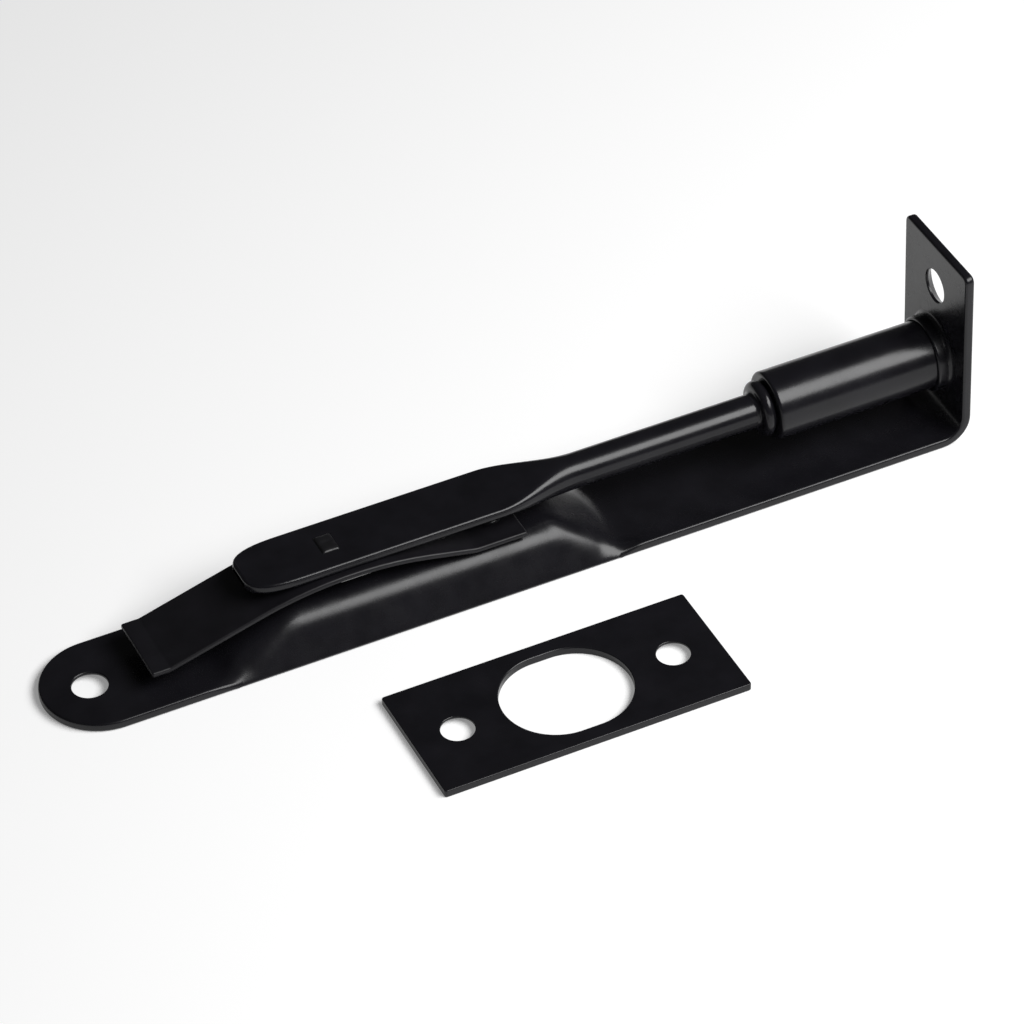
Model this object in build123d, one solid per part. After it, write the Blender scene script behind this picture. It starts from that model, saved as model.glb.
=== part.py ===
from build123d import *
import os
from math import copysign, cos, pi, radians, sin, tan

# Flush toggle bolt latch for the edge of a door, with its strike plate.
# Millimetres. X runs along the door edge towards the bolt's nose, Z is the depth into the door.
# Z = 0 is the face that shows when the latch is fitted, and the origin is on that face,
# in the middle of the screw hole of the rounded end.

# Base plate, one pressed sheet
plate_length = 175.0
plate_width = 22.2
sheet = 1.8
screw_inset = 8.8
flange_height = 36.8
bend_radius = 5.5
flange_corner_radius = 1.4

# Finger trough, pressed up from the plate as an arch across its whole width
arch_height = 8.7
arch_start = 15.2
arch_full_start = 37.0
arch_full_end = 84.0
arch_end = 100.5
arch_start_lag = 8.3
arch_end_lag = 5.2
arch_ramp_ease = 0.22
arch_shoulder_radius = 5.9
arch_wall_tilt = 30
arch_foot_height = 0.6
arch_sections = 13
arch_points = 25
arch_least_rise = 0.001

# Screw holes, countersunk from the face that shows, with a short straight land behind
screw_hole_diameter = 6.4
screw_land = 0.5

# Bolt, rod and collars
bolt_axis_z = 13.4
bolt_diameter = 12.7
bolt_back_x = 130.5
bolt_nose_gap = 0.2
bolt_nose_chamfer = 0.8
bolt_back_round = 0.6
rod_diameter = 6.35
rod_socket_depth = 14.0
rod_socket_gap = 0.5
rod_fit = 0.02
bolt_fit = 0.07
neck_diameter = 10.2
neck_length = 2.4
neck_round = 1.1
neck_flare = 0.8
lip_diameter = 14.0
lip_length = 2.6
lip_root_radius = 0.8
lip_front_round = 0.5

# Lever, the flattened end of the rod
lever_left_x = 28.7
lever_width = 12.5
lever_thickness = 1.9
lever_top_z = 15.5
lever_nose_length = 11.0
lever_nose_points = 9
lever_nose_along_power = 2.6
lever_nose_across_power = 3.5
lever_nose_margin = 0.3
lever_shoulder_x = 76.0
rod_round_x = 93.0
shoulder_sections = 7
shoulder_points = 24
oblong_power = 9.0

# Toggle tab, staked into the lever and reaching down into the trough
tab_x = 45.2
tab_thickness = 2.8
tab_width = 11.0
tab_neck_width = 5.0
tab_tenon_width = 4.2
tab_bottom_z = 0.9
tab_shoulder_z = 5.2
tab_bottom_radius = 2.0
stake_height = 0.5
stake_spread = 0.5
stake_taper = 30

# Travel of the bolt, and the slot that the tab runs in
travel = 19.0
slot_end_gap = 0.5
slot_side_gap = 0.4

# Leaf spring under the lever
spring_width = 14.7
spring_thickness = 1.1
spring_foot_x = 9.0
spring_foot_bend_x = 12.4
spring_foot_z = 5.75
spring_apex = (45.5, 15.1)
spring_seat_x = 70.3
spring_end_x = 80.0
spring_foot_bend_radius = 2.5
spring_crown_radius = 64.0
spring_seat_bend_radius = 6.0
spring_corner_radius = 0.5

# Rivet that holds the spring's end to the arch
rivet_x = 75.6
rivet_shank_diameter = 3.0
rivet_head_diameter = 5.2
rivet_head_height = 1.0
rivet_hole_gap = 0.05
rivet_tail_drop = 0.35

# Strike plate, lying loose beside the latch
strike_length = 57.6
strike_width = 26.2
strike_sheet = 1.5
strike_corner_radius = 0.5
strike_corner = (43.1, -52.0)
strike_screw_x = (8.4, 49.2)
strike_screw_diameter = 6.0
strike_screw_land = 0.4
strike_hole_length = 23.6
strike_hole_width = 20.2

# How far a cutter reaches past what it cuts
cutter_margin = 1.0

# Worked out from the above
tip_x = -screw_inset
flange_outer_x = plate_length - screw_inset
flange_inner_x = flange_outer_x - sheet
half_width = plate_width / 2
bolt_nose_x = flange_outer_x - bolt_nose_gap
neck_back_x = bolt_back_x - neck_length
lever_mid_z = lever_top_z - lever_thickness / 2
lever_bottom_z = lever_top_z - lever_thickness
arch_tilt = radians(arch_wall_tilt)
arch_inner_drop = sheet * sin(arch_tilt) - arch_foot_height
arch_inner_foot_y = half_width - sheet * cos(arch_tilt) - arch_inner_drop * tan(arch_tilt)
slot_start_x = tab_x - tab_thickness / 2 - slot_end_gap
slot_end_x = tab_x + travel + tab_thickness / 2 + slot_end_gap
slot_middle_x = (slot_start_x + slot_end_x) / 2
slot_length = slot_end_x - slot_start_x
slot_width = tab_neck_width + 2 * slot_side_gap
spring_seat_z = arch_height + spring_thickness / 2
flange_screw_z = flange_height - screw_inset
rivet_head_z = arch_height + spring_thickness
rivet_tail_z = arch_height - sheet - rivet_tail_drop
rivet_hole_diameter = rivet_shank_diameter + 2 * rivet_hole_gap


def box_between(x, y, z):
    """A box between the low and high values given for each axis."""
    size = [high - low for low, high in (x, y, z)]
    middle = [(high + low) / 2 for low, high in (x, y, z)]
    return Pos(*middle) * Box(*size)


def bar_along_x(diameter, start_x, end_x):
    """A round bar on the bolt's axis."""
    bar = Rot(0, 90, 0) * Cylinder(diameter / 2, end_x - start_x)
    return Pos((start_x + end_x) / 2, 0, bolt_axis_z) * bar


def screw_hole(diameter, depth, land):
    """A cutter: a 90 degree countersink from Z = 0, then a straight land up to Z = depth."""
    sink = depth - land
    cone = Cone(diameter / 2 + sink, diameter / 2, sink)
    return Pos(0, 0, sink / 2) * cone + Cylinder(diameter / 2, 4 * depth)


def smooth_step(fraction):
    return fraction * fraction * (3 - 2 * fraction)


def arch_ramp(fraction):
    """A straight ramp from just over 0 up to 1, eased at both ends."""
    fraction = min(max(fraction, 0), 1)
    ease = 2 * arch_ramp_ease * (1 - arch_ramp_ease)
    if fraction < arch_ramp_ease:
        rise = fraction**2 / ease
    elif fraction > 1 - arch_ramp_ease:
        rise = 1 - (1 - fraction) ** 2 / ease
    else:
        rise = (fraction - arch_ramp_ease / 2) / (1 - arch_ramp_ease)
    return max(rise, arch_least_rise)


def arch_profile(part, height, foot_y, foot_z, radius):
    """Half of an arch's outline: part 0 is the crest's middle, part 1 the top of the foot.

    It is flat, then a round shoulder, then a straight wall that leans in by the wall's tilt.
    """
    wall_top_z = height - radius * (1 - sin(arch_tilt))
    wall_top_y = foot_y - (wall_top_z - foot_z) * tan(arch_tilt)
    centre_y = wall_top_y - radius * cos(arch_tilt)
    arc_length = radius * (pi / 2 - arch_tilt)
    wall_length = (wall_top_z - foot_z) / cos(arch_tilt)
    along = part * (centre_y + arc_length + wall_length)
    if along < centre_y:
        return along, height
    if along < centre_y + arc_length:
        angle = pi / 2 - (along - centre_y) / radius
        return centre_y + radius * cos(angle), height - radius * (1 - sin(angle))
    down = along - centre_y - arc_length
    return wall_top_y + down * sin(arch_tilt), wall_top_z - down * cos(arch_tilt)


def arch_section(x, flat_x, full_x, lag):
    """The sheet's cross-section at x, between the flat plate at flat_x and the full arch at full_x.

    The crest starts to rise at flat_x, and the sides later, by lag at the plate's edges.
    """
    inner_radius = arch_shoulder_radius - sheet
    outer = []
    inner = []
    for i in range(arch_points):
        part = 2 * i / (arch_points - 1) - 1
        start_x = flat_x + lag * part**2
        rise = arch_ramp((x - start_x) / (full_x - start_x))
        shape = (arch_height, half_width, arch_foot_height, arch_shoulder_radius)
        y, z = arch_profile(abs(part), *shape)
        y = rise * copysign(y, part) + (1 - rise) * half_width * part
        outer.append((x, y, (1 - rise) * sheet + rise * z))
        y, z = arch_profile(abs(part), arch_height - sheet, arch_inner_foot_y, 0, inner_radius)
        y = rise * copysign(y, part) + (1 - rise) * arch_inner_foot_y * part
        inner.append((x, y, rise * z))
    left = (x, -half_width, 0)
    right = (x, half_width, 0)
    outside = [Line(left, outer[0]), Spline(*outer), Line(outer[-1], right)]
    return Wire(outside + [Line(right, inner[-1]), Spline(*inner), Line(inner[0], left)])


def arch_transition(flat_x, full_x, lag):
    """The sheet between the flat plate at flat_x and the full arch at full_x."""
    sections = []
    for i in range(arch_sections):
        x = flat_x + i / (arch_sections - 1) * (full_x - flat_x)
        sections.append(arch_section(x, flat_x, full_x, lag))
    if flat_x > full_x:
        sections.reverse()
    return Solid.make_loft(sections, ruled=True)


def bent_end():
    """The flat plate right of the arch, the bend and the upright flange."""
    middle = sheet / 2
    mid_line = FilletPolyline(
        (arch_end, middle),
        (flange_outer_x - middle, middle),
        (flange_outer_x - middle, flange_height),
        radius=bend_radius - middle,
    )
    bent = extrude(Plane.XZ * trace(mid_line, sheet), half_width, both=True)
    top_corners = bent.edges().filter_by(Axis.X).group_by(Axis.Z)[-1]
    return fillet(top_corners, flange_corner_radius)


def bolt_lip():
    """The drawn lip round the flange's bolt hole, a ring that flares into the flange."""
    front_x = flange_inner_x - lip_length
    root_x = flange_inner_x + sheet / 2
    radius = lip_diameter / 2
    with BuildSketch(Plane.XZ) as section:
        with BuildLine():
            Polyline(
                (front_x, bolt_axis_z),
                (front_x, bolt_axis_z + radius - lip_front_round),
            )
            RadiusArc(
                (front_x, bolt_axis_z + radius - lip_front_round),
                (front_x + lip_front_round, bolt_axis_z + radius),
                lip_front_round,
            )
            Line(
                (front_x + lip_front_round, bolt_axis_z + radius),
                (flange_inner_x - lip_root_radius, bolt_axis_z + radius),
            )
            RadiusArc(
                (flange_inner_x - lip_root_radius, bolt_axis_z + radius),
                (flange_inner_x, bolt_axis_z + radius + lip_root_radius),
                -lip_root_radius,
            )
            Polyline(
                (flange_inner_x, bolt_axis_z + radius + lip_root_radius),
                (root_x, bolt_axis_z + radius + lip_root_radius),
                (root_x, bolt_axis_z),
                (front_x, bolt_axis_z),
            )
        make_face()
    return revolve(section.sketch, Axis((0, 0, bolt_axis_z), (1, 0, 0)))


def base_plate():
    tongue_centre_x = tip_x + half_width
    plate = Pos(tongue_centre_x, 0, sheet / 2) * Cylinder(half_width, sheet)
    plate += box_between((tongue_centre_x, arch_start), (-half_width, half_width), (0, sheet))
    plate += arch_transition(arch_start, arch_full_start, arch_start_lag)
    full_arch = Face(arch_section(arch_full_start, arch_start, arch_full_start, arch_start_lag))
    plate += extrude(full_arch, arch_full_end - arch_full_start, dir=(1, 0, 0))
    plate += arch_transition(arch_end, arch_full_end, -arch_end_lag)
    plate += bent_end()
    plate += bolt_lip()
    plate -= bar_along_x(bolt_diameter + 2 * bolt_fit, arch_end, flange_outer_x + sheet)
    plate -= screw_hole(screw_hole_diameter, sheet, screw_land)
    flange_screw = Rot(0, -90, 0) * screw_hole(screw_hole_diameter, sheet, screw_land)
    plate -= Pos(flange_outer_x, 0, flange_screw_z) * flange_screw
    plate -= Pos(slot_middle_x, 0, 0) * extrude(Rectangle(slot_length, slot_width), 2 * arch_height)
    plate -= Pos(rivet_x, 0, arch_height / 2) * Cylinder(rivet_hole_diameter / 2, 2 * arch_height)
    return plate


def leaf_spring():
    mid_line = FilletPolyline(
        (spring_foot_x, spring_foot_z),
        (spring_foot_bend_x, spring_foot_z),
        spring_apex,
        (spring_seat_x, spring_seat_z),
        (spring_end_x, spring_seat_z),
        radius=(spring_foot_bend_radius, spring_crown_radius, spring_seat_bend_radius),
    )
    leaf = extrude(Plane.XZ * trace(mid_line, spring_thickness), spring_width / 2, both=True)
    upright = leaf.edges().filter_by(Axis.Z)
    leaf = fillet(upright, spring_corner_radius)
    leaf -= Pos(slot_middle_x, 0, 0) * extrude(Rectangle(slot_length, slot_width), lever_top_z)
    leaf -= Pos(rivet_x, 0, arch_height) * Cylinder(rivet_hole_diameter / 2, 2 * arch_height)
    return leaf


def spring_rivet():
    """A round-headed rivet through the spring's seat and the crest of the arch."""
    shank = rivet_shank_diameter / 2
    head = rivet_head_diameter / 2
    top_z = rivet_head_z + rivet_head_height
    bottom_z = rivet_tail_z - rivet_head_height
    crown = (head**2 + rivet_head_height**2) / (2 * rivet_head_height)
    with BuildSketch(Plane.XZ) as section:
        with BuildLine():
            RadiusArc((0, top_z), (head, rivet_head_z), crown)
            Polyline((head, rivet_head_z), (shank, rivet_head_z), (shank, rivet_tail_z), (head, rivet_tail_z))
            RadiusArc((head, rivet_tail_z), (0, bottom_z), crown)
            Line((0, bottom_z), (0, top_z))
        make_face()
    return Pos(rivet_x, 0, 0) * revolve(section.sketch, Axis.Z)


def lever_section(x, fraction):
    """A closed section: the lever's flat oblong at fraction 0, the round rod at fraction 1."""
    blend = smooth_step(fraction)
    half_y = lever_width / 2 + blend * (rod_diameter - lever_width) / 2
    half_z = lever_thickness / 2 + blend * (rod_diameter - lever_thickness) / 2
    middle_z = lever_mid_z + blend * (bolt_axis_z - lever_mid_z)
    power = 2 / (oblong_power + blend * (2 - oblong_power))
    points = []
    for i in range(shoulder_points):
        angle = 2 * pi * (i + 0.5) / shoulder_points
        across = copysign(abs(cos(angle)) ** power, cos(angle))
        up = copysign(abs(sin(angle)) ** power, sin(angle))
        points.append((x, half_y * across, middle_z + half_z * up))
    return Wire([Spline(*points, periodic=True)])


def lever_nose():
    """The outline of the lever's rounded nose: half of a squarish oval, and the length behind it."""
    half_y = lever_width / 2 + lever_nose_margin
    points = []
    for i in range(lever_nose_points):
        angle = pi * (i / (lever_nose_points - 1) - 0.5)
        behind = cos(angle) ** (2 / lever_nose_along_power)
        across = copysign(abs(sin(angle)) ** (2 / lever_nose_across_power), sin(angle))
        points.append((lever_left_x + lever_nose_length * (1 - behind), half_y * across))
    tangents = ((-1, 0), (1, 0))
    end_x = lever_left_x + 2 * lever_nose_length
    with BuildSketch() as outline:
        with BuildLine():
            Spline(*points, tangents=tangents)
            Polyline(points[-1], (end_x, half_y), (end_x, -half_y), points[0])
        make_face()
    return outline.sketch


def rod_lever():
    """The rod, pressed flat into a lever at its left end, with its tenon inside the bolt."""
    flat_length = lever_shoulder_x - lever_left_x
    oblong = Face(lever_section(lever_shoulder_x, 0))
    paddle = extrude(oblong, flat_length, dir=(-1, 0, 0))
    corner_block = Pos(lever_left_x + lever_nose_length, 0)
    corner_block *= Rectangle(2 * lever_nose_length, 2 * lever_width)
    cutter_height = lever_thickness + 2 * cutter_margin
    cutter_bottom = Pos(0, 0, lever_bottom_z - cutter_margin)
    paddle -= cutter_bottom * extrude(corner_block - lever_nose(), cutter_height)
    shoulder = []
    for i in range(shoulder_sections):
        fraction = i / (shoulder_sections - 1)
        x = lever_shoulder_x + fraction * (rod_round_x - lever_shoulder_x)
        shoulder.append(lever_section(x, fraction))
    lever = paddle + Solid.make_loft(shoulder)
    rod_length = bolt_back_x + rod_socket_depth - rod_round_x
    lever += extrude(Face(shoulder[-1]), rod_length, dir=(1, 0, 0))
    tenon_hole = Rectangle(tab_thickness, tab_tenon_width)
    lever -= Pos(tab_x, 0, 0) * cutter_bottom * extrude(tenon_hole, cutter_height)
    return lever


def toggle_tab():
    """The finger tab: a blade in the trough, a neck through the slot and a staked tenon."""
    blade = Rectangle(tab_width, tab_shoulder_z - tab_bottom_z)
    blade = fillet(blade.vertices().group_by(Axis.Y)[0], tab_bottom_radius)
    outline = Pos(0, (tab_shoulder_z + tab_bottom_z) / 2) * blade
    neck_height = lever_bottom_z - tab_shoulder_z
    outline += Pos(0, tab_shoulder_z + neck_height / 2) * Rectangle(tab_neck_width, neck_height)
    outline += Pos(0, lever_mid_z) * Rectangle(tab_tenon_width, lever_thickness)
    tab = extrude(Plane.YZ * outline, tab_thickness / 2, both=True)
    stake = Rectangle(tab_thickness + stake_spread, tab_tenon_width + stake_spread)
    head = extrude(stake, stake_height, taper=stake_taper)
    tab += Pos(0, 0, lever_top_z) * head
    return Pos(tab_x, 0, 0) * tab


def neck_collar():
    """The rounded ring between the rod and the bolt, flared on to the rod."""
    inner = rod_diameter / 2 + rod_fit
    outer = neck_diameter / 2
    flare_x = neck_back_x - neck_flare
    with BuildSketch(Plane.XZ) as section:
        with BuildLine():
            RadiusArc((flare_x, inner), (neck_back_x, inner + neck_flare), neck_flare)
            Line((neck_back_x, inner + neck_flare), (neck_back_x, outer - neck_round))
            RadiusArc(
                (neck_back_x, outer - neck_round),
                (neck_back_x + neck_round, outer),
                neck_round,
            )
            Line((neck_back_x + neck_round, outer), (bolt_back_x - neck_round, outer))
            RadiusArc(
                (bolt_back_x - neck_round, outer),
                (bolt_back_x, outer - neck_round),
                neck_round,
            )
            Polyline((bolt_back_x, outer - neck_round), (bolt_back_x, inner), (flare_x, inner))
        make_face()
    ring = revolve(section.sketch, Axis((0, 0, 0), (1, 0, 0)))
    return Pos(0, 0, bolt_axis_z) * ring


def bolt():
    bar = bar_along_x(bolt_diameter, bolt_back_x, bolt_nose_x)
    ends = bar.edges().filter_by(GeomType.CIRCLE).sort_by(Axis.X)
    bar = fillet(ends[0], bolt_back_round)
    nose = bar.edges().filter_by(GeomType.CIRCLE).sort_by(Axis.X)[-1]
    bar = chamfer(nose, bolt_nose_chamfer)
    socket_end_x = bolt_back_x + rod_socket_depth + rod_socket_gap
    bar -= bar_along_x(rod_diameter + 2 * rod_fit, bolt_back_x - cutter_margin, socket_end_x)
    return bar


def strike_plate():
    """The loose strike, lying with its countersunk face down."""
    middle = (strike_length / 2, strike_width / 2)
    outline = Pos(*middle) * RectangleRounded(strike_length, strike_width, strike_corner_radius)
    outline -= Pos(*middle) * SlotOverall(strike_hole_length, strike_hole_width)
    plate = extrude(outline, strike_sheet)
    for x in strike_screw_x:
        cutter = screw_hole(strike_screw_diameter, strike_sheet, strike_screw_land)
        plate -= Pos(x, strike_width / 2, 0) * cutter
    return Pos(*strike_corner, 0) * plate


def main():
    os.makedirs("parts", exist_ok=True)
    for make_part in (
        base_plate,
        leaf_spring,
        spring_rivet,
        rod_lever,
        toggle_tab,
        neck_collar,
        bolt,
        strike_plate,
    ):
        export_step(make_part(), f"parts/{make_part.__name__}.step")


main()
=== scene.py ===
from math import atan2, ceil, copysign, cos, pi, radians, sin, sqrt, tan

import bpy
from mathutils import Matrix, Vector


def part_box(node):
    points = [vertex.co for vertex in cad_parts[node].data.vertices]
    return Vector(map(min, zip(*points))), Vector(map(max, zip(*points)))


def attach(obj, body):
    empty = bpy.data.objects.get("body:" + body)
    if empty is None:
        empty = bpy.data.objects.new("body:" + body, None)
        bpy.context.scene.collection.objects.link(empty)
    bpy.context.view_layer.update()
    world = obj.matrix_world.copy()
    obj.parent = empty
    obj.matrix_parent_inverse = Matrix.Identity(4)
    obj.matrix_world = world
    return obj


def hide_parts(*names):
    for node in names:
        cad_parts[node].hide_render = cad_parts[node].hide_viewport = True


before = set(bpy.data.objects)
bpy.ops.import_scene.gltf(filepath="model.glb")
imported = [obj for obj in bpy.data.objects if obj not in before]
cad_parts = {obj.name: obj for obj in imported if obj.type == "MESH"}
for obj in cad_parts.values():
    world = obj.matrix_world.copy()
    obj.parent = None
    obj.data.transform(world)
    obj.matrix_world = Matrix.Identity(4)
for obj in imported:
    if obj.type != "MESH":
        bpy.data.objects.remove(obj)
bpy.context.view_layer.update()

# Lengths are in millimetres, and are turned into Blender's metres where a mesh is made.
MM = 0.001


def span(node):
    """A CAD node's lowest and highest corners, in millimetres."""
    low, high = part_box(node)
    return Vector(low) / MM, Vector(high) / MM


# ---- Sizes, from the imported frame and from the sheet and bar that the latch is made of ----
PLATE_LOW, PLATE_HIGH = span("base_plate")
BOLT_LOW, BOLT_HIGH = span("bolt")
LEVER_LOW, LEVER_HIGH = span("rod_lever")
SPRING_LOW, SPRING_HIGH = span("leaf_spring")
TAB_LOW, TAB_HIGH = span("toggle_tab")
RIVET_LOW, RIVET_HIGH = span("spring_rivet")
NECK_LOW, NECK_HIGH = span("neck_collar")
STRIKE_LOW, STRIKE_HIGH = span("strike_plate")
AXIS_Z = (BOLT_LOW.z + BOLT_HIGH.z) / 2

SHEET = 1.8
HALF_WIDTH = 11.1
FLANGE_OUTER_X = PLATE_HIGH.x
FLANGE_TOP_Z = 36.8
BEND_RADIUS = 5.5
BEND_STEPS = 12
FLANGE_CORNER = 1.4
SCREW_RADIUS = 3.2
SCREW_LAND = 0.5
SCREW_INSET = -PLATE_LOW.x
PLATE_EDGE_ROUND = 0.5
TIP_STEPS = 56

ARCH_HEIGHT = 8.7
ARCH_START_X = 15.2
ARCH_FULL_START_X = 37.0
ARCH_FULL_END_X = 84.0
ARCH_END_X = 100.5
ARCH_START_LAG = 8.3
ARCH_END_LAG = 5.2
ARCH_RAMP_EASE = 0.22
ARCH_SHOULDER_RADIUS = 5.9
ARCH_WALL_TILT = radians(30)
ARCH_FOOT_HEIGHT = 0.6
ARCH_STEP = 0.9
ARCH_MIDDLE_COLUMNS = 4
ARCH_SIDE_COLUMNS = 12
WALL_START_X = 17.0
WALL_FULL_X = 24.5

SLOT_START_X = 43.3
SLOT_END_X = 66.1
SLOT_HALF_WIDTH = 2.9

LIP_RADIUS = 7.0
LIP_LENGTH = 2.6
LIP_ROOT_ROUND = 0.8
LIP_FRONT_ROUND = 0.45
LIP_SINK = 0.9
LIP_MOUTH_EASE = 0.12
BORE_RADIUS = 6.42
BORE_STEP = 0.4
LATHE_STEPS = 96

LEVER_THICKNESS = 1.9
LEVER_EDGE_ROUND = 0.7
LEVER_HALF_WIDTH = 6.25
LEVER_TOP_Z = 15.5
LEVER_SHOULDER_X = 76.0
ROD_ROUND_X = 93.0
ROD_RADIUS = 3.175
NOSE_LENGTH = 10.0
NOSE_BLUNTNESS = 0.15
NOSE_ALONG_POWER = 2.6
NOSE_ACROSS_POWER = 3.5
CORNER_STEPS = 6

SPRING_THICKNESS = 1.1
SPRING_FOOT_BEND = (12.4, 5.75)
SPRING_APEX = (45.5, 15.1)
SPRING_SEAT = (70.3, 9.25)
SPRING_RADII = (2.5, 64.0, 6.0)
SPRING_EDGE_ROUND = 0.4
SPRING_LEAST_STEP = 0.7

RIVET_HEAD_HEIGHT = 1.0
RIVET_SHANK_RADIUS = 1.5

TAB_SHOULDER_Z = 5.2
TAB_THICKNESS = 2.8
TAB_HALF_NECK = 2.5
TAB_HALF_TENON = 2.1
TAB_BLADE_ROUND = 2.0
TAB_EDGE_ROUND = 0.25
STAKE_HALF_LENGTH = 2.35

NECK_FLARE = 0.8
NECK_BEAD_ROUND = 1.2
BOLT_BACK_ROUND = 0.6
BOLT_NOSE_CHAMFER = 0.8

STRIKE_CORNER_ROUND = 0.5
STRIKE_EDGE_ROUND = 0.22
STRIKE_SCREWS_FROM_END = 8.4
STRIKE_SCREW_RADIUS = 3.0
STRIKE_SCREW_LAND = 0.4
STRIKE_HOLE_LENGTH = 23.6
STRIKE_HOLE_WIDTH = 20.2

# ---- Camera, with its distance and aim in millimetres ----
CAMERA_AZIMUTH = -23.5
CAMERA_ELEVATION = 40.5
CAMERA_ROLL = -2.8
CAMERA_DISTANCE = 887
CAMERA_LENS = 175.2
CAMERA_SENSOR = 36.0
AIM_FROM_PLATE_CENTRE = Vector((5.7, 9.3, 0))

# ---- Light and floor, in metres from the plate's centre ----
KEY_OFFSET = (0.38, -0.40, 0.60)
KEY_SIZE = (0.66, 0.40)
KEY_RADIANCE = 10.0
WORLD_STRENGTH = 0.05
FLOOR_HALF_SIZE = 4
FLOOR_ALBEDO = 0.9
FLOOR_ROUGHNESS = 0.8
FLOOR_GLOW = 0.25

# ---- Paint ----
PAINT_IOR = 1.36
# Lighter grey laid on edges: partly rubbed paint, partly a painted highlight along the edges.
EDGE_WEAR_AND_HIGHLIGHT_COLOUR = (0.045, 0.045, 0.048, 1)


# ---- Mesh helpers ----
def make_object(name, vertices, faces):
    """An object from vertices in millimetres, with its faces as given."""
    mesh = bpy.data.meshes.new(name)
    mesh.from_pydata([Vector(vertex) * MM for vertex in vertices], [], faces)
    mesh.update()
    made = bpy.data.objects.new(name, mesh)
    bpy.context.scene.collection.objects.link(made)
    return made


def apply_modifiers(piece):
    """Replace the piece's mesh by the result of its modifiers."""
    graph = bpy.context.evaluated_depsgraph_get()
    mesh = bpy.data.meshes.new_from_object(piece.evaluated_get(graph))
    piece.modifiers.clear()
    old = piece.data
    piece.data = mesh
    bpy.data.meshes.remove(old)
    mesh.name = piece.name


def round_edges(piece, radius, segments=4, least_angle=40):
    """Round every edge sharper than least_angle, in geometry."""
    bevel = piece.modifiers.new("round_edges", "BEVEL")
    bevel.width = radius * MM
    bevel.segments = segments
    bevel.limit_method = "ANGLE"
    bevel.angle_limit = radians(least_angle)
    bevel.use_clamp_overlap = False
    bevel.miter_outer = "MITER_ARC"
    apply_modifiers(piece)


def combine(piece, tool, operation):
    """Cut the tool from the piece, or unite them, and throw the tool away."""
    boolean = piece.modifiers.new(operation.lower(), "BOOLEAN")
    boolean.operation = operation
    boolean.object = tool
    boolean.solver = "EXACT"
    apply_modifiers(piece)
    mesh = tool.data
    bpy.data.objects.remove(tool)
    bpy.data.meshes.remove(mesh)


def smooth(piece, sharp_angle=38):
    """Smooth shading that keeps flat faces flat."""
    piece.data.shade_smooth()
    piece.data.set_sharp_from_angle(angle=radians(sharp_angle))
    weighted = piece.modifiers.new("flat_faces_stay_flat", "WEIGHTED_NORMAL")
    weighted.keep_sharp = True
    weighted.weight = 100


def finish_piece(piece, node, body, material, sharp_angle=38):
    """Give the piece its shading and paint, and put it in its CAD node's place."""
    smooth(piece, sharp_angle)
    piece.data.materials.clear()
    piece.data.materials.append(material)
    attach(piece, body)
    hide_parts(node)


def sheet_solid(name, outer, inner, faces):
    """A closed sheet: the faces on the outer points, the same on the inner points, and a rim."""
    count = len(outer)
    back = [tuple(index + count for index in reversed(face)) for face in faces]
    directed = set()
    for face in faces:
        directed.update(zip(face, face[1:] + face[:1]))
    rim = [(b, a, a + count, b + count) for a, b in sorted(directed) if (b, a) not in directed]
    return make_object(name, outer + inner, faces + back + rim)


def stacked_solid(name, loops):
    """A closed solid through loops of equal length, with flat ends."""
    count = len(loops[0])
    vertices = [vertex for loop in loops for vertex in loop]
    faces = [tuple(reversed(range(count)))]
    for level in range(len(loops) - 1):
        start = level * count
        for i in range(count):
            after = (i + 1) % count
            faces.append((start + i, start + after, start + count + after, start + count + i))
    faces.append(tuple(range(len(vertices) - count, len(vertices))))
    return make_object(name, vertices, faces)


def arc(centre_along, centre_out, radius, start, end, steps=6):
    """Points on an arc of a lathe's profile, from start to end degrees, 0 along the axis."""
    points = []
    for i in range(steps + 1):
        angle = radians(start + (end - start) * i / steps)
        points.append((centre_along + radius * cos(angle), centre_out + radius * sin(angle)))
    return points


def lathe_along_x(name, profile, ring=False, steps=LATHE_STEPS):
    """Turn a profile of (x, radius) round the bolt's axis. A ring's profile closes on itself."""
    loops = []
    for x, radius in profile:
        loop = []
        for i in range(steps):
            angle = 2 * pi * i / steps
            loop.append((x, radius * cos(angle), AXIS_Z + radius * sin(angle)))
        loops.append(loop)
    if not ring:
        return stacked_solid(name, loops)
    vertices = [vertex for loop in loops for vertex in loop]
    faces = []
    for level in range(len(loops)):
        start = level * steps
        end = (level + 1) % len(loops) * steps
        for i in range(steps):
            after = (i + 1) % steps
            faces.append((start + i, start + after, end + after, end + i))
    return make_object(name, vertices, faces)


def circle_loop(radius, steps=64):
    return [(radius * cos(2 * pi * i / steps), radius * sin(2 * pi * i / steps)) for i in range(steps)]


def stadium_loop(length, width, steps=72):
    """A slot's outline, its long way along X. No point lies on a corner between its stretches."""
    half_straight = (length - width) / 2
    points = []
    for i in range(steps):
        angle = 2 * pi * (i + 0.5) / steps
        side = half_straight if cos(angle) > 0 else -half_straight
        points.append((side + width / 2 * cos(angle), width / 2 * sin(angle)))
    return points


def rim_levels(top, radius, steps=4):
    """Offsets and heights of a hole's rounded rim, from just above the face down to the wall.

    The rounding stops short of lying in the face, so the cut stays clean.
    """
    levels = []
    for i in range(steps + 1):
        angle = radians(75 * (1 - i / steps))
        levels.append((radius * (1 - cos(angle)), top - radius * (1 - sin(angle))))
    first_out, first_up = levels[0]
    return [(first_out + 0.1, first_up + 0.1)] + levels


def screw_hole_levels(sheet, land, sink_depth_round=0.2, rim=0.25):
    """A screw hole's wall as offsets and heights: rounded rim, land, then the countersink."""
    sink = sheet - land
    levels = rim_levels(sheet, rim)
    levels += [(0, sink), (sink - sink_depth_round / 2, sink_depth_round / 2)]
    levels += [(sink + sink_depth_round / 2, -sink_depth_round / 3)]
    return levels


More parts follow.
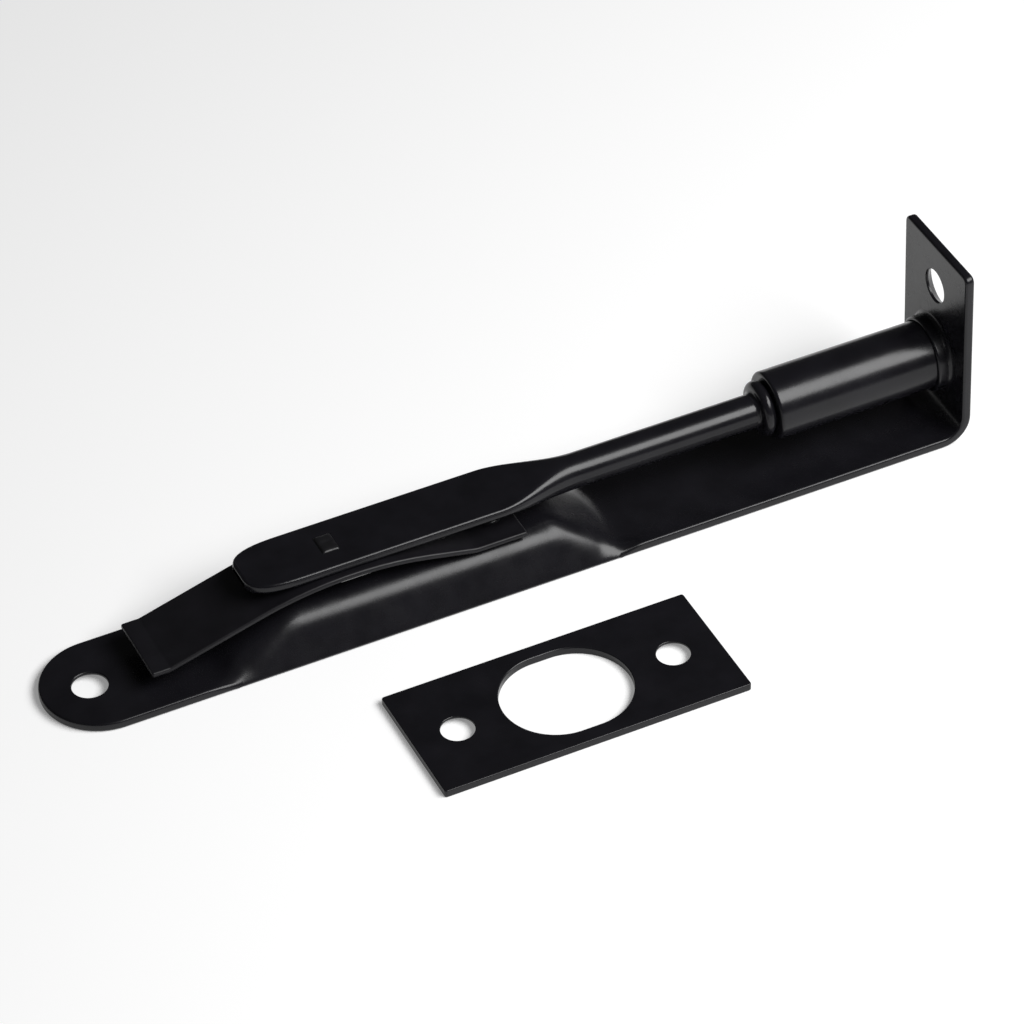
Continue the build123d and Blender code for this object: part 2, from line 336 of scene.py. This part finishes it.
def hole_cutter(name, outline, levels, place):
    """A cutter through a sheet that lies between Z = 0 and its thickness, then put in place."""
    loops = []
    for out, up in reversed(levels):
        loops.append([place @ Vector((x, y, up)) for x, y in outline(out)])
    return stacked_solid(name, loops)


# ---- Base plate ----
def arch_ramp(fraction):
    """A straight ramp from 0 to 1, eased at both ends."""
    fraction = min(max(fraction, 0), 1)
    ease = 2 * ARCH_RAMP_EASE * (1 - ARCH_RAMP_EASE)
    if fraction < ARCH_RAMP_EASE:
        return fraction**2 / ease
    if fraction > 1 - ARCH_RAMP_EASE:
        return 1 - (1 - fraction) ** 2 / ease
    return (fraction - ARCH_RAMP_EASE / 2) / (1 - ARCH_RAMP_EASE)


def smooth_step(fraction):
    fraction = min(max(fraction, 0), 1)
    return fraction * fraction * (3 - 2 * fraction)


def arch_rise(x, part):
    """How far the sheet has risen into the arch at x: the crest first, the sides later."""
    if x < ARCH_FULL_START_X:
        start_x = ARCH_START_X + ARCH_START_LAG * part**2
        return arch_ramp((x - start_x) / (ARCH_FULL_START_X - start_x))
    if x > ARCH_FULL_END_X:
        start_x = ARCH_END_X - ARCH_END_LAG * part**2
        return arch_ramp((x - start_x) / (ARCH_FULL_END_X - start_x))
    return 1.0


def arch_profile(along, height, foot_y, foot_z, radius):
    """Half of an arch's outline, from its crest outwards: a flat, a round shoulder, a wall.

    A position past 1 counts from the slot's edge, where the outline is still flat, to the foot.
    A low arch has a smaller shoulder, so that its wall leans as far as the full arch's.
    """
    tilt = ARCH_WALL_TILT
    radius = min(radius, (height - foot_z) / (1 - sin(tilt)))
    wall_top_z = height - radius * (1 - sin(tilt))
    wall_top_y = foot_y - (wall_top_z - foot_z) * tan(tilt)
    centre_y = wall_top_y - radius * cos(tilt)
    if along <= 1:
        return along * SLOT_HALF_WIDTH, height
    flat = centre_y - SLOT_HALF_WIDTH
    arc_length = radius * (pi / 2 - tilt)
    wall_length = (wall_top_z - foot_z) / cos(tilt)
    along = (along - 1) * (flat + arc_length + wall_length)
    if along < flat:
        return SLOT_HALF_WIDTH + along, height
    if along < flat + arc_length:
        angle = pi / 2 - (along - flat) / radius
        return centre_y + radius * cos(angle), height - radius * (1 - sin(angle))
    down = along - flat - arc_length
    return wall_top_y + down * sin(tilt), wall_top_z - down * cos(tilt)


def arch_columns():
    """Positions across the sheet, for arch_profile: 1 is the slot's edge and 2 the foot."""
    half_middle = ARCH_MIDDLE_COLUMNS // 2
    columns = [i / half_middle for i in range(half_middle + 1)]
    columns += [1 + i / ARCH_SIDE_COLUMNS for i in range(1, ARCH_SIDE_COLUMNS + 1)]
    return [-column for column in reversed(columns[1:])] + columns


def flat_position(column, foot_y):
    """Where a column lies across the sheet while it is flat."""
    size = abs(column)
    if size <= 1:
        return column * SLOT_HALF_WIDTH
    y = SLOT_HALF_WIDTH + (size - 1) * (foot_y - SLOT_HALF_WIDTH)
    return copysign(y, column)


def wall_turn(x):
    """How far the sheet's outer edge has turned down into the arch's wall at x, from 0 to 1."""
    if x < ARCH_FULL_START_X:
        return smooth_step((x - WALL_START_X) / (WALL_FULL_X - WALL_START_X))
    return smooth_step((ARCH_END_X - x) / ARCH_END_LAG)


def outer_point(x, column):
    """Where a column of the sheet's outer surface lies at x."""
    flat_y = flat_position(column, HALF_WIDTH)
    height = SHEET + arch_rise(x, flat_y / HALF_WIDTH) * (ARCH_HEIGHT - SHEET)
    y, z = arch_profile(abs(column), height, HALF_WIDTH, ARCH_FOOT_HEIGHT, ARCH_SHOULDER_RADIUS)
    turn = wall_turn(x)
    return x, flat_y + turn * (copysign(y, column) - flat_y), SHEET + turn * (z - SHEET)


def inner_point(x, column):
    """Where a column of the inner surface lies at x. The last one is the plate's bottom edge."""
    if abs(column) == 2:
        return x, copysign(HALF_WIDTH, column), 0
    if abs(column) > 1:
        stretch = ARCH_SIDE_COLUMNS / (ARCH_SIDE_COLUMNS - 1)
        column = copysign(1 + (abs(column) - 1) * stretch, column)
    tilt = ARCH_WALL_TILT
    foot_y = HALF_WIDTH - SHEET * cos(tilt) - (SHEET * sin(tilt) - ARCH_FOOT_HEIGHT) * tan(tilt)
    flat_y = flat_position(column, foot_y)
    height = arch_rise(x, flat_y / HALF_WIDTH) * (ARCH_HEIGHT - SHEET)
    y, z = arch_profile(abs(column), height, foot_y, 0, ARCH_SHOULDER_RADIUS - SHEET)
    return x, copysign(y, column), z


def arch_row(x, columns):
    """The sheet's outer and inner points across its width at x."""
    return [outer_point(x, column) for column in columns], [inner_point(x, column) for column in columns]


def steps_between(start, end, step):
    count = ceil((end - start) / step)
    return [start + (end - start) * i / count for i in range(count)]


def plate_sheet():
    """The pressed sheet, without its round holes."""
    stations = steps_between(ARCH_START_X, ARCH_FULL_START_X, ARCH_STEP)
    stations += [ARCH_FULL_START_X, SLOT_START_X, SLOT_END_X]
    stations += steps_between(ARCH_FULL_END_X, ARCH_END_X, ARCH_STEP) + [ARCH_END_X]
    columns = arch_columns()
    width = len(columns)
    outer = []
    inner = []
    faces = []
    for x in stations:
        row_outer, row_inner = arch_row(x, columns)
        outer += row_outer
        inner += row_inner
    first_slot_column = ARCH_SIDE_COLUMNS
    last_slot_column = ARCH_SIDE_COLUMNS + ARCH_MIDDLE_COLUMNS
    for i in range(len(stations) - 1):
        for j in range(width - 1):
            in_slot = stations[i] == SLOT_START_X and first_slot_column <= j < last_slot_column
            if not in_slot:
                corner = i * width + j
                faces.append((corner, corner + width, corner + width + 1, corner + 1))

    tip_centre_x = PLATE_LOW.x + HALF_WIDTH
    tongue = list(range(width))
    for i in range(TIP_STEPS + 1):
        angle = pi / 2 + pi * i / TIP_STEPS
        x = tip_centre_x + HALF_WIDTH * cos(angle)
        y = HALF_WIDTH * sin(angle)
        tongue.append(len(outer))
        outer.append((x, y, SHEET))
        inner.append((x, y, 0))
    faces.append(tuple(tongue))

    last_row = (len(stations) - 1) * width
    bend_x = FLANGE_OUTER_X - BEND_RADIUS
    before = (last_row, last_row + width - 1)
    for i in range(BEND_STEPS + 1):
        angle = pi / 2 * i / BEND_STEPS
        pair = (len(outer), len(outer) + 1)
        for y in (-HALF_WIDTH, HALF_WIDTH):
            near = BEND_RADIUS - SHEET
            outer.append((bend_x + near * sin(angle), y, BEND_RADIUS - near * cos(angle)))
            inner.append((bend_x + BEND_RADIUS * sin(angle), y, BEND_RADIUS - BEND_RADIUS * cos(angle)))
        if i == 0:
            faces.append(tuple(range(before[1], before[0] - 1, -1)) + pair)
        else:
            faces.append((before[0], pair[0], pair[1], before[1]))
        before = pair

    flange = [before[0]]
    for side in (-1, 1):
        for i in range(7):
            turn = pi / 2 * i / 6
            angle = pi - turn if side < 0 else pi / 2 - turn
            y = side * (HALF_WIDTH - FLANGE_CORNER) + FLANGE_CORNER * cos(angle)
            z = FLANGE_TOP_Z - FLANGE_CORNER + FLANGE_CORNER * sin(angle)
            flange.append(len(outer))
            outer.append((FLANGE_OUTER_X - SHEET, y, z))
            inner.append((FLANGE_OUTER_X, y, z))
    flange.append(before[1])
    faces.append(tuple(flange))
    return sheet_solid("plate_sheet", outer, inner, faces)


def flange_lip():
    """The drawn lip, a ring whose root runs into the flange's inner face."""
    face_x = FLANGE_OUTER_X - SHEET
    front_x = face_x - LIP_LENGTH
    sunk_x = face_x + LIP_SINK
    ease = LIP_MOUTH_EASE
    profile = [(sunk_x, BORE_RADIUS), (front_x + ease, BORE_RADIUS), (front_x, BORE_RADIUS + ease)]
    profile += arc(front_x + LIP_FRONT_ROUND, LIP_RADIUS - LIP_FRONT_ROUND, LIP_FRONT_ROUND, 180, 90)
    root_x = face_x - LIP_ROOT_ROUND
    profile += arc(root_x, LIP_RADIUS + LIP_ROOT_ROUND, LIP_ROOT_ROUND, -90, -8)
    profile += [(face_x + 0.1, LIP_RADIUS + LIP_ROOT_ROUND), (sunk_x, LIP_RADIUS + LIP_ROOT_ROUND)]
    return lathe_along_x("flange_lip", profile, ring=True)


def base_plate(paint):
    plate = plate_sheet()
    round_edges(plate, PLATE_EDGE_ROUND, least_angle=46)

    levels = screw_hole_levels(SHEET, SCREW_LAND)
    outline = lambda out: circle_loop(SCREW_RADIUS + out)
    combine(plate, hole_cutter("tongue_hole", outline, levels, Matrix.Identity(4)), "DIFFERENCE")
    turn = Matrix.Rotation(radians(-90), 4, "Y")
    place = Matrix.Translation((FLANGE_OUTER_X, 0, FLANGE_TOP_Z - SCREW_INSET)) @ turn
    combine(plate, hole_cutter("flange_hole", outline, levels, place), "DIFFERENCE")

    bore = lambda out: circle_loop(BORE_RADIUS + out, LATHE_STEPS)
    step_up = SHEET - LIP_SINK - 0.05
    levels = [(BORE_STEP, SHEET + 1), (BORE_STEP, step_up), (0, step_up)]
    levels += [(0, 0.3), (0.09, 0.09), (BORE_STEP, -0.1)]
    place = Matrix.Translation((FLANGE_OUTER_X, 0, AXIS_Z)) @ turn
    combine(plate, hole_cutter("bolt_hole", bore, levels, place), "DIFFERENCE")
    combine(plate, flange_lip(), "UNION")
    finish_piece(plate, "base_plate", "frame", paint)


# ---- Leaf spring and its rivet ----
def filleted_path(points, radii, step_angle=radians(3)):
    """A path through the points with its corners rounded: positions with their unit normals."""
    path = [Vector(points[0])]
    for i, radius in enumerate(radii, start=1):
        before, corner, after = (Vector(points[k]) for k in (i - 1, i, i + 1))
        way_in = (corner - before).normalized()
        way_out = (after - corner).normalized()
        turn = atan2(way_in.x * way_out.y - way_in.y * way_out.x, way_in.dot(way_out))
        start = corner - way_in * radius * tan(abs(turn) / 2)
        side = Vector((-way_in.y, way_in.x)) * (1 if turn > 0 else -1)
        centre = start + side * radius
        count = max(3, ceil(abs(turn) / step_angle))
        for k in range(count + 1):
            spoke = Matrix.Rotation(turn * k / count, 2) @ (start - centre)
            path.append(centre + spoke)
    path.append(Vector(points[-1]))
    return path


def path_with_stops(path, stops):
    """The path with a point at each of the given x values, and no other point close beside it."""
    longer = []
    for here, after in zip(path, path[1:]):
        if all(abs(here.x - x) > SPRING_LEAST_STEP for x in stops):
            longer.append(here)
        for x in stops:
            if here.x <= x < after.x:
                longer.append(here.lerp(after, (x - here.x) / (after.x - here.x)))
    longer.append(path[-1])
    return longer


def leaf_spring(paint):
    points = ((SPRING_LOW.x, SPRING_FOOT_BEND[1]), SPRING_FOOT_BEND, SPRING_APEX, SPRING_SEAT)
    points += ((SPRING_HIGH.x, SPRING_SEAT[1]),)
    path = path_with_stops(filleted_path(points, SPRING_RADII), (SLOT_START_X, SLOT_END_X))
    half_width = SPRING_HIGH.y
    across = (-half_width, -SLOT_HALF_WIDTH, SLOT_HALF_WIDTH, half_width)
    outer = []
    inner = []
    for i, here in enumerate(path):
        along = (path[min(i + 1, len(path) - 1)] - path[max(i - 1, 0)]).normalized()
        normal = Vector((-along.y, along.x)) * SPRING_THICKNESS / 2
        for y in across:
            outer.append((here.x + normal.x, y, here.y + normal.y))
            inner.append((here.x - normal.x, y, here.y - normal.y))
    faces = []
    width = len(across)
    for i in range(len(path) - 1):
        middle_x = (path[i].x + path[i + 1].x) / 2
        for j in range(width - 1):
            if j == 1 and SLOT_START_X < middle_x < SLOT_END_X:
                continue
            corner = i * width + j
            faces.append((corner, corner + width, corner + width + 1, corner + 1))
    leaf = sheet_solid("spring_leaf", outer, inner, faces)
    round_edges(leaf, SPRING_EDGE_ROUND, segments=3)
    finish_piece(leaf, "leaf_spring", "frame", paint)


def spring_rivet(paint):
    """A round-headed rivet with a lower, slightly flattened tail."""
    centre_x = (RIVET_LOW.x + RIVET_HIGH.x) / 2
    head = (RIVET_HIGH.x - RIVET_LOW.x) / 2
    height = RIVET_HEAD_HEIGHT
    shank = RIVET_SHANK_RADIUS
    tail_z = RIVET_LOW.z + height
    head_z = RIVET_HIGH.z - height
    profile = [(0.3, RIVET_LOW.z + 0.02)]
    for i in range(1, 9):
        angle = pi / 2 * i / 8
        profile.append((head * sin(angle), tail_z - height * cos(angle)))
    profile += [(head, tail_z + 0.02), (shank, tail_z + 0.02), (shank, head_z), (head, head_z)]
    for i in range(1, 9):
        angle = pi / 2 * (1 - i / 8)
        profile.append((max(head * sin(angle), 0.3), head_z + height * cos(angle) * 0.99))
    loops = []
    for radius, z in profile:
        loops.append([(centre_x + x, y, z) for x, y in circle_loop(radius, 48)])
    rivet = stacked_solid("rivet", loops)
    finish_piece(rivet, "spring_rivet", "frame", paint, sharp_angle=50)


# ---- Lever, rod, collar and bolt ----
def rounded_section(x, half_y, half_z, radius, middle_z):
    """A rounded rectangle across the bar at x."""
    loop = []
    for corner, (side_y, side_z) in enumerate(((1, 1), (-1, 1), (-1, -1), (1, -1))):
        for i in range(CORNER_STEPS + 1):
            angle = pi / 2 * (corner + i / CORNER_STEPS)
            y = side_y * (half_y - radius) + radius * cos(angle)
            z = side_z * (half_z - radius) + radius * sin(angle)
            loop.append((x, y, middle_z + z))
    return loop


def lever_sections():
    """Sections from the nose, along the flat, over the shoulder and along the rod."""
    half_z = LEVER_THICKNESS / 2
    middle_z = LEVER_TOP_Z - half_z
    sections = []
    nose = [LEVER_EDGE_ROUND * (1 - cos(pi / 2 * i / 5)) for i in range(6)]
    nose += [0.6, 0.9, 1.3, 1.8, 2.4, 3.2, 4.2, 5.4, 6.8, 8.3, NOSE_LENGTH]
    for behind in nose:
        drop = max(LEVER_EDGE_ROUND - behind, 0)
        height = half_z - LEVER_EDGE_ROUND + sqrt(LEVER_EDGE_ROUND**2 - drop**2)
        part = min((behind + NOSE_BLUNTNESS) / NOSE_LENGTH, 1)
        half_y = LEVER_HALF_WIDTH * (1 - (1 - part) ** NOSE_ALONG_POWER) ** (1 / NOSE_ACROSS_POWER)
        x = LEVER_LOW.x + behind
        sections.append(rounded_section(x, half_y, height, LEVER_EDGE_ROUND, middle_z))
    shoulder_steps = 18
    for i in range(shoulder_steps + 1):
        part = i / shoulder_steps
        blend = smooth_step(part)
        half_y = LEVER_HALF_WIDTH + blend * (ROD_RADIUS - LEVER_HALF_WIDTH)
        height = half_z + blend * (ROD_RADIUS - half_z)
        radius = LEVER_EDGE_ROUND + blend * (ROD_RADIUS - 0.001 - LEVER_EDGE_ROUND)
        x = LEVER_SHOULDER_X + part * (ROD_ROUND_X - LEVER_SHOULDER_X)
        z = middle_z + blend * (AXIS_Z - middle_z)
        sections.append(rounded_section(x, half_y, height, min(radius, height), z))
    last = sections[-1]
    sections.append([(LEVER_HIGH.x, y, z) for x, y, z in last])
    return sections


def rod_lever(paint):
    lever = stacked_solid("lever_and_rod", lever_sections())
    finish_piece(lever, "rod_lever", "bolt_run", paint, sharp_angle=60)


def toggle_tab(paint):
    """The finger tab with its neck and the tenon that goes up through the lever; its staked head is made
    apart.
    """
    half_blade = TAB_HIGH.y
    blade_round = TAB_BLADE_ROUND
    lever_bottom_z = LEVER_TOP_Z - LEVER_THICKNESS
    half = []
    for i in range(9):
        angle = -pi / 2 + pi / 2 * i / 8
        y = half_blade - blade_round + blade_round * cos(angle)
        half.append((y, TAB_LOW.z + blade_round + blade_round * sin(angle)))
    half += [(half_blade, TAB_SHOULDER_Z), (TAB_HALF_NECK, TAB_SHOULDER_Z)]
    half += [(TAB_HALF_NECK, lever_bottom_z), (TAB_HALF_TENON, lever_bottom_z)]
    half += [(TAB_HALF_TENON, LEVER_TOP_Z)]
    outline = half + [(-y, z) for y, z in reversed(half)]
    middle_x = (TAB_LOW.x + TAB_HIGH.x) / 2
    loops = []
    for x in (middle_x - TAB_THICKNESS / 2, middle_x + TAB_THICKNESS / 2):
        loops.append([(x, y, z) for y, z in outline])
    blade = stacked_solid("toggle_blade", loops)
    round_edges(blade, TAB_EDGE_ROUND, segments=3)
    finish_piece(blade, "toggle_tab", "bolt_run", paint)


def stake_head(paint):
    """The tenon's end, hammered over into a low oblong head with a punch mark in its middle."""
    low_x = TAB_LOW.x
    half_x = (TAB_HIGH.x - TAB_LOW.x) / 2
    height = TAB_HIGH.z - LEVER_TOP_Z
    columns = 14
    rows = 24
    vertices = []
    faces = []
    for i in range(rows + 1):
        along = 2 * i / rows - 1
        for j in range(columns + 1):
            across = 2 * j / columns - 1
            crown = (1 - abs(across) ** 4) ** 0.5 * (1 - abs(along) ** 10) ** 0.5
            punch = 0.5 + 0.5 * cos(pi * 2 * along)
            dent = 0.42 * punch**2 * (1 - across**2)
            z = LEVER_TOP_Z - 0.05 + (height + 0.05) * crown * (1 - dent)
            vertices.append((low_x + half_x * (1 + across), STAKE_HALF_LENGTH * along, z))
    width = columns + 1
    for i in range(rows):
        for j in range(columns):
            corner = i * width + j
            faces.append((corner, corner + 1, corner + width + 1, corner + width))
    under = [(x, y, LEVER_TOP_Z - 0.3) for x, y, z in vertices]
    head = sheet_solid("toggle_stake", vertices, under, faces)
    smooth(head, 50)
    head.data.materials.append(paint)
    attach(head, "bolt_run")


def neck_collar(paint):
    """The turned ring between the rod and the bolt: a small flare, a bead and a groove."""
    bore = ROD_RADIUS - 0.1
    outer = NECK_HIGH.y
    flare = NECK_FLARE
    bead_start = NECK_LOW.x + flare
    bead_round = NECK_BEAD_ROUND
    profile = [(NECK_HIGH.x, bore), (NECK_LOW.x, bore)]
    profile += arc(NECK_LOW.x, ROD_RADIUS + flare, flare, -90, 0)
    profile += arc(bead_start + bead_round, outer - bead_round, bead_round, 180, 90, steps=10)
    profile += arc(NECK_HIGH.x - bead_round, outer - bead_round, bead_round, 90, 5, steps=10)
    ring = lathe_along_x("collar_ring", profile, ring=True)
    finish_piece(ring, "neck_collar", "bolt_run", paint, sharp_angle=50)


def bolt(paint):
    """The bar, rounded at its back and chamfered at its nose."""
    radius = BOLT_HIGH.y
    back = BOLT_BACK_ROUND
    chamfer = BOLT_NOSE_CHAMFER
    ease = 0.15
    profile = [(BOLT_LOW.x, 0.5)]
    profile += arc(BOLT_LOW.x + back, radius - back, back, 180, 90)
    profile += [(BOLT_HIGH.x - chamfer - ease, radius), (BOLT_HIGH.x - chamfer, radius - ease / 3)]
    profile += [(BOLT_HIGH.x - ease / 3, radius - chamfer), (BOLT_HIGH.x, radius - chamfer - ease)]
    profile += [(BOLT_HIGH.x, 0.5)]
    bar = lathe_along_x("bolt_bar", profile)
    finish_piece(bar, "bolt", "bolt_run", paint, sharp_angle=50)


# ---- Strike plate ----
def strike_plate(paint):
    centre = (STRIKE_LOW + STRIKE_HIGH) / 2
    half = (STRIKE_HIGH - STRIKE_LOW) / 2
    sheet = STRIKE_HIGH.z
    outline = []
    for corner, (side_x, side_y) in enumerate(((1, 1), (-1, 1), (-1, -1), (1, -1))):
        for i in range(7):
            angle = pi / 2 * (corner + i / 6)
            x = side_x * (half.x - STRIKE_CORNER_ROUND) + STRIKE_CORNER_ROUND * cos(angle)
            y = side_y * (half.y - STRIKE_CORNER_ROUND) + STRIKE_CORNER_ROUND * sin(angle)
            outline.append((centre.x + x, centre.y + y))
    loops = [[(x, y, z) for x, y in outline] for z in (0, sheet)]
    plate = stacked_solid("strike_sheet", loops)
    round_edges(plate, STRIKE_EDGE_ROUND, segments=3)

    hole = lambda out: stadium_loop(STRIKE_HOLE_LENGTH + 2 * out, STRIKE_HOLE_WIDTH + 2 * out)
    rim = STRIKE_EDGE_ROUND
    levels = rim_levels(sheet, rim) + [(out, sheet - up) for out, up in reversed(rim_levels(sheet, rim))]
    place = Matrix.Translation((centre.x, centre.y, 0))
    combine(plate, hole_cutter("bolt_opening", hole, levels, place), "DIFFERENCE")

    levels = screw_hole_levels(sheet, STRIKE_SCREW_LAND, rim=0.15)
    screw = lambda out: circle_loop(STRIKE_SCREW_RADIUS + out)
    for x in (STRIKE_LOW.x + STRIKE_SCREWS_FROM_END, STRIKE_HIGH.x - STRIKE_SCREWS_FROM_END):
        place = Matrix.Translation((x, centre.y, 0))
        combine(plate, hole_cutter("strike_screw", screw, levels, place), "DIFFERENCE")
    finish_piece(plate, "strike_plate", "strike", paint)


# ---- Paint ----
def black_paint(name, base, roughness, peel=1.0, edge_wear_and_highlight=0.35):
    """Satin black paint: a faint mottle, fine orange peel and grain, and lighter edges: rubbed paint and
    a painted highlight.
    """
    material = bpy.data.materials.new(name)
    material.use_nodes = True
    tree = material.node_tree
    nodes = tree.nodes
    links = tree.links
    shader = nodes["Principled BSDF"]
    shader.inputs["IOR"].default_value = PAINT_IOR
    place = nodes.new("ShaderNodeTexCoord")

    def noise(scale, detail, rough=0.5):
        texture = nodes.new("ShaderNodeTexNoise")
        texture.inputs["Scale"].default_value = scale
        texture.inputs["Detail"].default_value = detail
        texture.inputs["Roughness"].default_value = rough
        links.new(place.outputs["Object"], texture.inputs["Vector"])
        return texture.outputs["Fac"]

    def spread(source, low, high, from_low=0.3, from_high=0.7):
        node = nodes.new("ShaderNodeMapRange")
        node.inputs["From Min"].default_value = from_low
        node.inputs["From Max"].default_value = from_high
        node.inputs["To Min"].default_value = low
        node.inputs["To Max"].default_value = high
        links.new(source, node.inputs["Value"])
        return node.outputs["Result"]

    def mix_colour(factor, first, second):
        node = nodes.new("ShaderNodeMix")
        node.data_type = "RGBA"
        for name, value in (("Factor", factor), ("A", first), ("B", second)):
            socket = node.inputs[name]
            if isinstance(value, bpy.types.NodeSocket):
                links.new(value, socket)
            else:
                socket.default_value = value
        return node.outputs["Result"]

    mottle = spread(noise(160, 3), 0.0, 1.0)
    dark = tuple(value * 0.8 for value in base) + (1,)
    light = tuple(value * 1.25 for value in base) + (1,)
    colour = mix_colour(mottle, dark, light)

    # Edges are lightened in colour, in patches: partly rubbed paint, partly a painted edge highlight.
    bevel = nodes.new("ShaderNodeBevel")
    bevel.samples = 4
    bevel.inputs["Radius"].default_value = 0.5 * MM
    geometry = nodes.new("ShaderNodeNewGeometry")
    dot = nodes.new("ShaderNodeVectorMath")
    dot.operation = "DOT_PRODUCT"
    links.new(bevel.outputs["Normal"], dot.inputs[0])
    links.new(geometry.outputs["Normal"], dot.inputs[1])
    edge = spread(dot.outputs["Value"], edge_wear_and_highlight, 0.0, 0.75, 0.97)
    patchy = spread(noise(420, 4, 0.6), 0.0, 1.0, 0.45, 0.65)
    edge_wear_and_highlight_mask = nodes.new("ShaderNodeMath")
    edge_wear_and_highlight_mask.operation = "MULTIPLY"
    links.new(edge, edge_wear_and_highlight_mask.inputs[0])
    links.new(patchy, edge_wear_and_highlight_mask.inputs[1])
    colour = mix_colour(edge_wear_and_highlight_mask.outputs["Value"], colour, EDGE_WEAR_AND_HIGHLIGHT_COLOUR)
    links.new(colour, shader.inputs["Base Color"])

    links.new(spread(noise(260, 4), roughness - 0.035, roughness + 0.035), shader.inputs["Roughness"])

    coarse = nodes.new("ShaderNodeBump")
    coarse.inputs["Strength"].default_value = 0.10 * peel
    coarse.inputs["Distance"].default_value = 0.06 * MM
    links.new(noise(900, 2), coarse.inputs["Height"])
    fine = nodes.new("ShaderNodeBump")
    fine.inputs["Strength"].default_value = 0.22 * peel
    fine.inputs["Distance"].default_value = 0.012 * MM
    links.new(noise(5200, 2), fine.inputs["Height"])
    links.new(coarse.outputs["Normal"], fine.inputs["Normal"])
    links.new(fine.outputs["Normal"], shader.inputs["Normal"])
    return material


# ---- Camera, lights and floor ----
def plate_centre():
    return Vector(((PLATE_LOW.x + PLATE_HIGH.x) / 2, (PLATE_LOW.y + PLATE_HIGH.y) / 2, 0))


def add_camera():
    data = bpy.data.cameras.new("camera")
    data.lens = CAMERA_LENS
    data.sensor_width = CAMERA_SENSOR
    data.clip_start = 0.01
    data.clip_end = 20
    camera = bpy.data.objects.new("camera", data)
    bpy.context.scene.collection.objects.link(camera)
    azimuth = radians(CAMERA_AZIMUTH)
    elevation = radians(CAMERA_ELEVATION)
    back = Vector((sin(azimuth) * cos(elevation), -cos(azimuth) * cos(elevation), sin(elevation)))
    position = (plate_centre() + AIM_FROM_PLATE_CENTRE + back * CAMERA_DISTANCE) * MM
    turn = (-back).to_track_quat("-Z", "Y").to_matrix().to_4x4()
    roll = Matrix.Rotation(radians(CAMERA_ROLL), 4, "Z")
    camera.matrix_world = Matrix.Translation(position) @ turn @ roll
    bpy.context.scene.camera = camera


def add_softbox(name, offset, size_x, size_y, radiance):
    """A rectangular softbox at offset metres from the plate's centre, facing it."""
    centre = plate_centre() * MM
    position = centre + Vector(offset)
    data = bpy.data.lights.new(name, "AREA")
    data.shape = "RECTANGLE"
    data.size = size_x
    data.size_y = size_y
    data.energy = radiance * pi * size_x * size_y
    light = bpy.data.objects.new(name, data)
    bpy.context.scene.collection.objects.link(light)
    turn = (centre - position).to_track_quat("-Z", "Y").to_matrix().to_4x4()
    light.matrix_world = Matrix.Translation(position) @ turn


def add_studio():
    add_softbox("key_softbox", KEY_OFFSET, *KEY_SIZE, KEY_RADIANCE)
    world = bpy.data.worlds.new("studio")
    world.use_nodes = True
    background = world.node_tree.nodes["Background"]
    background.inputs["Color"].default_value = (1, 1, 1, 1)
    background.inputs["Strength"].default_value = WORLD_STRENGTH
    bpy.context.scene.world = world
    mesh = bpy.data.meshes.new("floor")
    far = FLOOR_HALF_SIZE
    mesh.from_pydata([(-far, -far, 0), (far, -far, 0), (far, far, 0), (-far, far, 0)], [], [(0, 1, 2, 3)])
    floor = bpy.data.objects.new("floor", mesh)
    bpy.context.scene.collection.objects.link(floor)
    material = bpy.data.materials.new("pale_floor")
    material.use_nodes = True
    shader = material.node_tree.nodes["Principled BSDF"]
    shader.inputs["Base Color"].default_value = (FLOOR_ALBEDO, FLOOR_ALBEDO, FLOOR_ALBEDO, 1)
    shader.inputs["Roughness"].default_value = FLOOR_ROUGHNESS
    shader.inputs["Emission Color"].default_value = (1, 1, 1, 1)
    shader.inputs["Emission Strength"].default_value = FLOOR_GLOW
    mesh.materials.append(material)
    bpy.context.scene.view_settings.view_transform = "Standard"


def main():
    add_camera()
    add_studio()
    plate_paint = black_paint("plate_paint", (0.0070, 0.0067, 0.0086), 0.26)
    spring_paint = black_paint("spring_paint", (0.0072, 0.0068, 0.0087), 0.40)
    rod_paint = black_paint("rod_paint", (0.0068, 0.0065, 0.0084), 0.23)
    # The stake head is lighter in colour, with strong edge lightening: worn paint, and painted glints.
    stake_paint = black_paint("stake_paint", (0.0090, 0.0088, 0.0100), 0.30, edge_wear_and_highlight=1.0)
    base_plate(plate_paint)
    leaf_spring(spring_paint)
    spring_rivet(plate_paint)
    rod_lever(rod_paint)
    toggle_tab(rod_paint)
    stake_head(stake_paint)
    neck_collar(rod_paint)
    bolt(rod_paint)
    strike_plate(plate_paint)


main()
